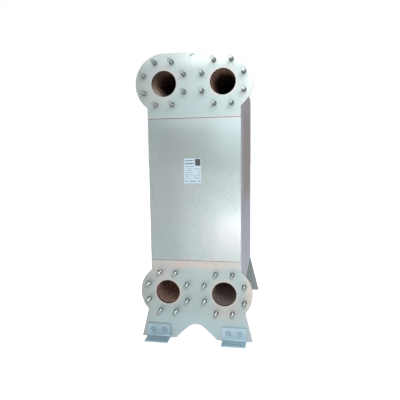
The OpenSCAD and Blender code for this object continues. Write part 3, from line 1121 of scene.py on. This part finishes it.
def makeLabel():
    sizes = labelSizes
    width, height = sizes["right"] - sizes["left"], sizes["top"] - sizes["bottom"]
    bm = bmesh.new()
    bmesh.ops.create_grid(bm, x_segments=1, y_segments=1, size=0.5)
    bmesh.ops.scale(bm, verts=bm.verts, vec=(width, height, 1))
    bmesh.ops.bevel(bm, geom=bm.verts[:], offset=sizes["corner"], offset_type="OFFSET",
                    segments=sizes["cornerSteps"], profile=0.5, affect="VERTICES", material=-1)
    turnMesh(bm, math.pi / 2, "X")
    bmesh.ops.translate(bm, verts=bm.verts, vec=(
        sizes["left"] + width / 2, faceY, sizes["bottom"] + height / 2))
    pushOut(bm, (0, -sizes["thickness"], 0))
    bmesh.ops.recalc_face_normals(bm, faces=bm.faces)
    markCreases(bm, sizes["crease"])
    finishPiece(bm, "label_film", [makeLabelFilm()])


makeLabel()
print("label ready")


stageLook = {
    "size": 30.0,
    "drop": 0.0002,
    "colour": (0.80, 0.80, 0.80, 1),
    # painted shadow under the anchor holes
    "hole": (0.12, 0.12, 0.12, 1),
    "holeReach": 0.008,
    "glow": 0.55,
    "seenGlow": 0.85,
    "contact": 0.03,
    "contactSamples": 8,
}


def addAnchorShade(tree):
    # 0 where a shadow is painted on the floor under an anchor hole, and 1 elsewhere
    x, y, _ = axes(tree, addNode(tree, "ShaderNodeTexCoord").outputs["Object"])
    anchors = mounts["floor_anchors"]["dims"]
    across = calc(tree, "SUBTRACT", calc(tree, "ABSOLUTE", x), anchors["spacing_x_mm"] / 2000)
    along = calc(tree, "SUBTRACT", calc(tree, "ABSOLUTE", y), anchors["spacing_y_mm"] / 2000)
    return calc(tree, "GREATER_THAN", axisGap(tree, across, along), stageLook["holeReach"])


def addRays(tree):
    # whether a ray comes from the camera, and whether it is mirrored or passes through
    path = addNode(tree, "ShaderNodeLightPath").outputs
    mirrored = calc(tree, "MAXIMUM", path["Is Glossy Ray"], path["Is Transmission Ray"])
    return path["Is Camera Ray"], mirrored


def addFloorGlow(tree, unshadedFloor):
    # bright to the camera except where the unit stands close and under the painted anchor shadows, and
    # fainter in mirrors
    look = stageLook
    fromCamera, mirrored = addRays(tree)
    contact = addNode(tree, "ShaderNodeAmbientOcclusion", samples=look["contactSamples"])
    contact.inputs["Distance"].default_value = look["contact"]
    seen = product(tree, fromCamera, look["seenGlow"], contact.outputs["AO"], unshadedFloor)
    glow = addNode(tree, "ShaderNodeEmission")
    wire(tree, calc(tree, "MULTIPLY_ADD", mirrored, look["glow"], seen), glow.inputs["Strength"])
    return glow.outputs[0]


def makeFloorPaint():
    look = stageLook
    material = bpy.data.materials.new("floorPaint")
    material.use_nodes = True
    tree = material.node_tree
    tree.nodes.clear()
    unshadedFloor = addAnchorShade(tree)
    paint = addNode(tree, "ShaderNodeBsdfDiffuse")
    wire(tree, mixColour(tree, unshadedFloor, look["hole"], look["colour"]), paint.inputs["Color"])
    both = addNode(tree, "ShaderNodeAddShader")
    wire(tree, paint.outputs[0], both.inputs[0])
    wire(tree, addFloorGlow(tree, unshadedFloor), both.inputs[1])
    wire(tree, both.outputs[0], addNode(tree, "ShaderNodeOutputMaterial").inputs["Surface"])
    return material


def makeFloor():
    bm = bmesh.new()
    bmesh.ops.create_grid(bm, x_segments=1, y_segments=1, size=stageLook["size"])
    bmesh.ops.translate(bm, verts=bm.verts, vec=(0, 0, -stageLook["drop"]))
    mesh = bpy.data.meshes.new("floor")
    bm.to_mesh(mesh)
    bm.free()
    mesh.materials.append(makeFloorPaint())
    floor = bpy.data.objects.new("floor", mesh)
    bpy.context.scene.collection.objects.link(floor)


worldLook = {"colour": (1, 1, 1, 1), "seen": 1.0, "light": 0.62}


def makeWorld():
    look = worldLook
    world = bpy.data.worlds.new("studio")
    bpy.context.scene.world = world
    world.use_nodes = True
    tree = world.node_tree
    back = tree.nodes["Background"].inputs
    seen = calc(tree, "MAXIMUM", *addRays(tree))
    wire(tree, look["colour"], back["Color"])
    wire(tree, spread(tree, seen, look["light"], look["seen"]), back["Strength"])


lampSizes = {
    # name: place, aim, width, height, power
    "highRight": ((0.35, -2.9, 2.05), (0.1, -0.347, 1.1), 1.5, 1.5, 24.5),
    "topRight": ((0.2, -2.6, 1.7), (0.15, -0.347, 1.1), 0.9, 0.9, 3.9),
    "middle": ((0.05, -2.7, 1.15), (0.1, -0.347, 0.85), 0.35, 0.35, 0.9),
    "lowFront": ((0.05, -2.55, 0.12), (0.15, -0.347, 0.4), 0.6, 0.2, 4.5),
    "lowRight": ((0.5, -2.5, 0.2), (0.15, -0.347, 0.45), 0.6, 0.35, 2.4),
    "sideKey": ((0.98, -2.1, 1.93), (0.0, -0.347, 0.6), 0.55, 0.95, 24.0),
    "lowSide": ((1.28, -1.60, 0.15), (-0.10, -0.36, 1.07), 0.4, 0.3, 3.0),
    "rear": ((-0.9, 3.4, 2.0), (0.0, 0.347, 0.7), 1.4, 1.4, 16.0),
}


def makeLamps():
    for name, (place, aim, width, height, power) in lampSizes.items():
        data = bpy.data.lights.new(name, "AREA")
        data.shape = "RECTANGLE"
        data.size, data.size_y = width, height
        data.energy = power
        lamp = bpy.data.objects.new(name, data)
        bpy.context.scene.collection.objects.link(lamp)
        lamp.location = place
        lamp.rotation_euler = (Vector(aim) - Vector(place)).to_track_quat("-Z", "Y").to_euler()
        lamp.visible_camera = False


cameraSizes = {
    "place": (0.3196, -1.9845, 0.7724),
    "aim": (0.0231, -0.3468, 0.5948),
    "roll": -0.73,
    "lens": 36.77,
    "sensor": 36,
    "nearest": 0.05,
}


def makeCamera():
    sizes = cameraSizes
    data = bpy.data.cameras.new("camera")
    data.sensor_width = sizes["sensor"]
    data.lens = sizes["lens"]
    data.clip_start = sizes["nearest"]
    camera = bpy.data.objects.new("camera", data)
    bpy.context.scene.collection.objects.link(camera)
    place = Vector(sizes["place"])
    turn = (Vector(sizes["aim"]) - place).to_track_quat("-Z", "Y").to_matrix()
    turn = turn @ Matrix.Rotation(math.radians(sizes["roll"]), 3, "Z")
    camera.matrix_world = Matrix.Translation(place) @ turn.to_4x4()
    bpy.context.scene.camera = camera


makeFloor()
makeWorld()
makeLamps()
makeCamera()
bpy.context.scene.view_settings.view_transform = "Standard"
print("stage ready")
